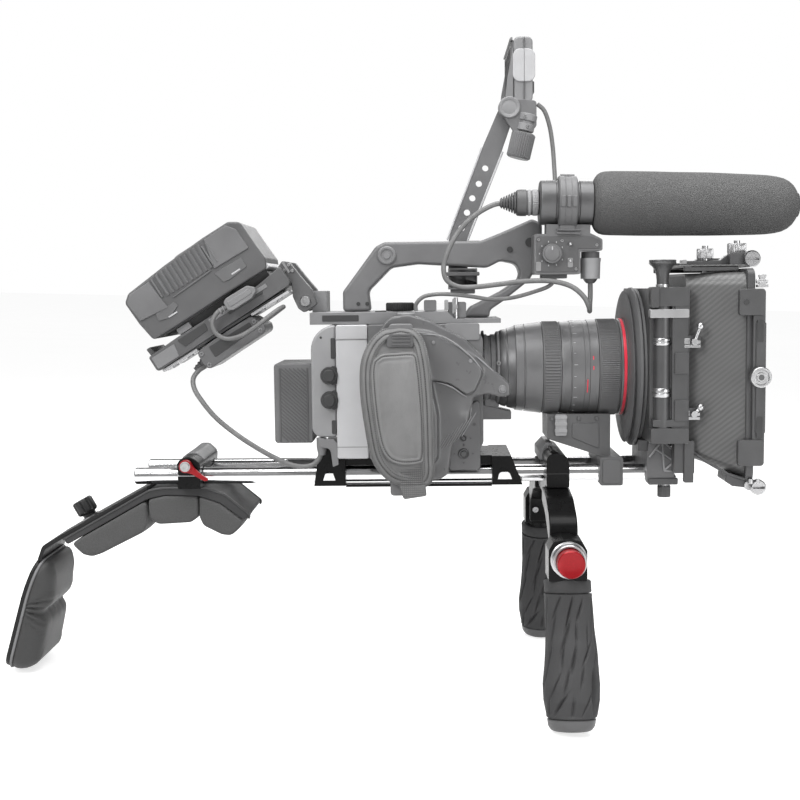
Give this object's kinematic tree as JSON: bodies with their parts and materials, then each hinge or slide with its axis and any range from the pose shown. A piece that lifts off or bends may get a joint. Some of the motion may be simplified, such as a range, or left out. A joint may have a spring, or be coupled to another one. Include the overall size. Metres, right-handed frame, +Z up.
{
  "type": "cinema camera rig",
  "caption": "Shoulder-mounted cinema camera rig: camera body on support rods with lens, matte box, shotgun microphone, small monitor, tilted battery, shoulder and back pads and two handgrips.",
  "frame": {"origin": "bottom centre of the bounding box, on the floor the rig stands on", "axes": "+X towards the lens (forwards), +Y to the operator's left, +Z up; the support rods rise 2 degrees towards the lens because the rig stands on its handgrips and back pad"},
  "size_m": [0.6928, 0.342, 0.5932],
  "materials": {
    "rod_chrome": "polished",
    "black_anodised": "satin black anodised",
    "black_steel": "satin black powder coat",
    "black_plastic": "matte",
    "kit_foam": "textured foam-backed fabric",
    "grip_rubber": "soft matte",
    "red_anodised": "glossy red anodised",
    "silver_panel": "satin silver",
    "grey_case": "satin grey",
    "dark_case": "satin dark grey",
    "strap_pad": "stitched padded webbing",
    "lens_black": "satin",
    "carbon": "carbon weave",
    "pale_metal": "bright",
    "mic_metal": "satin",
    "mic_foam": "open-cell foam",
    "monitor_case": "satin grey",
    "cable_jacket": "matte"
  },
  "bodies": {
    "base": {"rod_right": "rod_chrome", "rod_left": "rod_chrome", "baseplate": "black_anodised", "camera_rear_cover": "grey_case", "camera_chassis": "silver_panel", "camera_front_shell": "dark_case", "top_plate": "dark_case", "top_handle": "dark_case", "audio_box": "dark_case", "microphone": "mic_metal", "monitor_arm": "dark_case", "lens_adapter": "grey_case", "lens_barrel": "lens_black", "mic_cable": "cable_jacket", "handle_lead": "cable_jacket", "power_cable": "cable_jacket", "monitor_cable": "cable_jacket"},
    "shoulder_mount": {"shoulder_clamp_base": "black_anodised", "shoulder_clamp_cap": "black_anodised", "shoulder_plate": "black_plastic", "shoulder_cushion_front": "kit_foam", "shoulder_cushion_middle": "kit_foam", "shoulder_cushion_rear": "kit_foam"},
    "clamp_lever_body": {"clamp_lever": "red_anodised"},
    "back_pad": {"back_arm": "black_steel", "back_cushion": "kit_foam"},
    "back_knob_body": {"back_knob": "black_plastic"},
    "handle_mount": {"handle_clamp": "black_anodised", "handle_arm_right": "black_anodised", "handle_arm_left": "black_anodised"},
    "handle_right": {"handle_joint_right": "black_anodised", "grip_right": "grip_rubber"},
    "handle_left": {"handle_joint_left": "black_anodised", "grip_left": "grip_rubber"},
    "button_right": {"release_button_right": "red_anodised"},
    "button_left": {"release_button_left": "red_anodised"},
    "camera_battery_body": {"camera_battery": "dark_case"},
    "thumbwheel_body": {"thumbwheel": "black_plastic"},
    "side_grip": {"hand_grip": "dark_case", "hand_strap": "strap_pad"},
    "audio_dial_body": {"audio_dial": "grey_case"},
    "windscreen": {"mic_windscreen": "mic_foam"},
    "monitor_body": {"monitor": "monitor_case"},
    "monitor_knob_body": {"monitor_knob": "black_plastic"},
    "zoom_ring_body": {"zoom_ring": "lens_black"},
    "focus_ring_body": {"focus_ring": "lens_black"},
    "lens_support_body": {"lens_support": "dark_case"},
    "matte_box": {"matte_donut": "lens_black", "matte_stage": "black_anodised", "matte_hood": "carbon", "matte_bracket": "black_anodised"},
    "latch_knob_body": {"latch_knob": "black_anodised"},
    "matte_knob_body": {"matte_knob": "black_anodised"},
    "tray_lever_upper_body": {"tray_lever_upper": "pale_metal"},
    "tray_lever_lower_body": {"tray_lever_lower": "pale_metal"},
    "top_flag_body": {"top_flag": "carbon"},
    "battery_mount": {"battery_plate": "black_anodised", "dc_converter": "black_plastic", "battery_lead": "cable_jacket"},
    "v_battery_body": {"v_battery": "dark_case"}
  },
  "joints": [
    {"name": "shoulder_slide", "type": "slide", "parent": "base", "child": "shoulder_mount", "axis": [0.9994, 0, 0.0349], "range_m": [-0.03, 0.06]},
    {"name": "clamp_lever_turn", "type": "hinge", "parent": "shoulder_mount", "child": "clamp_lever_body", "pos_m": [-0.18148, -0.053, 0.19619], "axis": [0, 1, 0], "range_deg": [-110, 0]},
    {"name": "back_pad_slide", "type": "slide", "parent": "shoulder_mount", "child": "back_pad", "axis": [-0.8558, 0, -0.5173], "range_m": [-0.001, 0.024]},
    {"name": "back_knob_turn", "type": "hinge", "parent": "shoulder_mount", "child": "back_knob_body", "pos_m": [-0.27853, 0, 0.13867], "axis": [-0.5173, 0, 0.8558], "continuous": true},
    {"name": "handle_mount_slide", "type": "slide", "parent": "base", "child": "handle_mount", "axis": [0.9994, 0, 0.0349], "range_m": [-0.018, 0.008]},
    {"name": "handle_hinge_right", "type": "hinge", "parent": "handle_mount", "child": "handle_right", "pos_m": [0.14711, -0.132, 0.14213], "axis": [0, 1, 0], "range_deg": [-75, 75]},
    {"name": "button_press_right", "type": "slide", "parent": "handle_right", "child": "button_right", "axis": [0, 1, 0], "range_m": [0, 0.003], "stiffness_N_per_m": 300},
    {"name": "handle_hinge_left", "type": "hinge", "parent": "handle_mount", "child": "handle_left", "pos_m": [0.14711, 0.132, 0.14213], "axis": [0, 1, 0], "range_deg": [-75, 75]},
    {"name": "button_press_left", "type": "slide", "parent": "handle_left", "child": "button_left", "axis": [0, -1, 0], "range_m": [0, 0.003], "stiffness_N_per_m": 300},
    {"name": "camera_battery_slide", "type": "slide", "parent": "base", "child": "camera_battery_body", "axis": [-0.0349, 0, 0.9994], "range_m": [0, 0.02]},
    {"name": "thumbwheel_turn", "type": "hinge", "parent": "base", "child": "thumbwheel_body", "pos_m": [0.00311, -0.022, 0.34022], "axis": [-0.0349, 0, 0.9994], "continuous": true},
    {"name": "side_grip_turn", "type": "hinge", "parent": "base", "child": "side_grip", "pos_m": [0.02935, -0.09, 0.26209], "axis": [0, 1, 0], "range_deg": [-30, 60]},
    {"name": "audio_dial_turn", "type": "hinge", "parent": "base", "child": "audio_dial_body", "pos_m": [0.13396, -0.053, 0.38982], "axis": [0, 1, 0], "range_deg": [-150, 150]},
    {"name": "windscreen_slide", "type": "slide", "parent": "base", "child": "windscreen", "axis": [0.9999, 0, 0.0122], "range_m": [0, 0.03]},
    {"name": "monitor_tilt", "type": "hinge", "parent": "base", "child": "monitor_body", "pos_m": [0.09684, 0.0125, 0.5216], "axis": [0, 1, 0], "range_deg": [-45, 5], "deforming": ["monitor_cable"]},
    {"name": "monitor_knob_turn", "type": "hinge", "parent": "monitor_body", "child": "monitor_knob_body", "pos_m": [0.11109, 0.0125, 0.50009], "axis": [0.2079, 0, 0.9781], "continuous": true},
    {"name": "zoom_turn", "type": "hinge", "parent": "base", "child": "zoom_ring_body", "pos_m": [0.1395, 0, 0.28845], "axis": [0.9994, 0, 0.0349], "range_deg": [-35, 35]},
    {"name": "focus_turn", "type": "hinge", "parent": "base", "child": "focus_ring_body", "pos_m": [0.18947, 0, 0.29019], "axis": [0.9994, 0, 0.0349], "range_deg": [-60, 60]},
    {"name": "lens_support_slide", "type": "slide", "parent": "base", "child": "lens_support_body", "axis": [0.9994, 0, 0.0349], "range_m": [-0.01, 0.002]},
    {"name": "matte_box_slide", "type": "slide", "parent": "base", "child": "matte_box", "axis": [0.9994, 0, 0.0349], "range_m": [-0.005, 0.012]},
    {"name": "latch_pull", "type": "slide", "parent": "matte_box", "child": "latch_knob_body", "axis": [-0.0349, 0, 0.9994], "range_m": [0, 0.006], "stiffness_N_per_m": 400},
    {"name": "matte_knob_turn", "type": "hinge", "parent": "matte_box", "child": "matte_knob_body", "pos_m": [0.24116, -0.038, 0.18543], "axis": [-0.0349, 0, 0.9994], "continuous": true},
    {"name": "tray_lever_upper_turn", "type": "hinge", "parent": "matte_box", "child": "tray_lever_upper_body", "pos_m": [0.25254, -0.089, 0.31791], "axis": [0, 1, 0], "range_deg": [-45, 45]},
    {"name": "tray_lever_lower_turn", "type": "hinge", "parent": "matte_box", "child": "tray_lever_lower_body", "pos_m": [0.25467, -0.089, 0.25695], "axis": [0, 1, 0], "range_deg": [-45, 45]},
    {"name": "top_flag_tilt", "type": "hinge", "parent": "matte_box", "child": "top_flag_body", "pos_m": [0.30231, 0, 0.38269], "axis": [0, 1, 0], "range_deg": [0, 15]},
    {"name": "battery_tilt", "type": "hinge", "parent": "base", "child": "battery_mount", "pos_m": [-0.08055, 0, 0.3433], "axis": [0, 1, 0], "range_deg": [-15, 30], "deforming": ["power_cable"]},
    {"name": "v_battery_slide", "type": "slide", "parent": "battery_mount", "child": "v_battery_body", "axis": [0.8339, 0, 0.5519], "range_m": [0, 0.04]}
  ]
}
